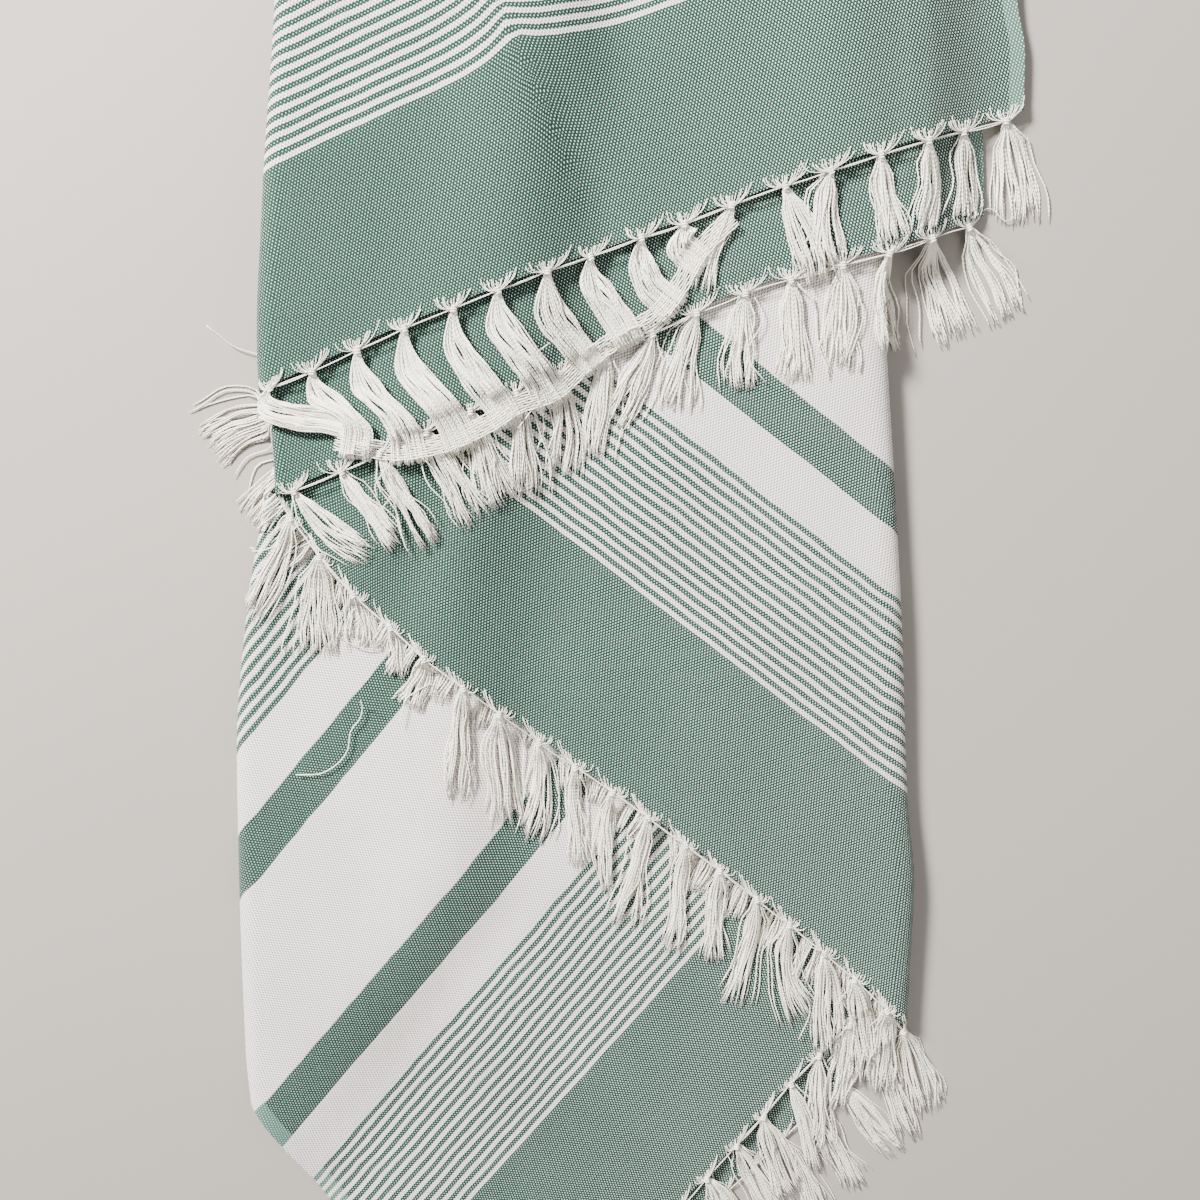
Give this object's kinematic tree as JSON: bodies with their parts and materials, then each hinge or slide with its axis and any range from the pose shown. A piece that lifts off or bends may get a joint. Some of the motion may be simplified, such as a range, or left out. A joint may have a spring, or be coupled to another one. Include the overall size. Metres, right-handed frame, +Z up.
{
  "type": "folded bath towel",
  "caption": "Striped cotton bath towel with knotted fringes, folded across and pleated in slanting panels, lying flat.",
  "frame": {"origin": "middle of the folded towel's bounding box, on the surface it lies on", "axes": "+Z up, +Y from the fringed ends to the plain far fold, +X to the right of someone at the fringed side"},
  "size_m": [0.3434, 1.1682, 0.0337],
  "materials": {
    "cloth": "flat-woven cotton, green and white weft stripes",
    "fringe": "loose white cotton yarn"
  },
  "bodies": {
    "root": {"towel": "cloth", "fringe_front": "fringe", "fringe_back": "fringe"}
  },
  "joints": []
}
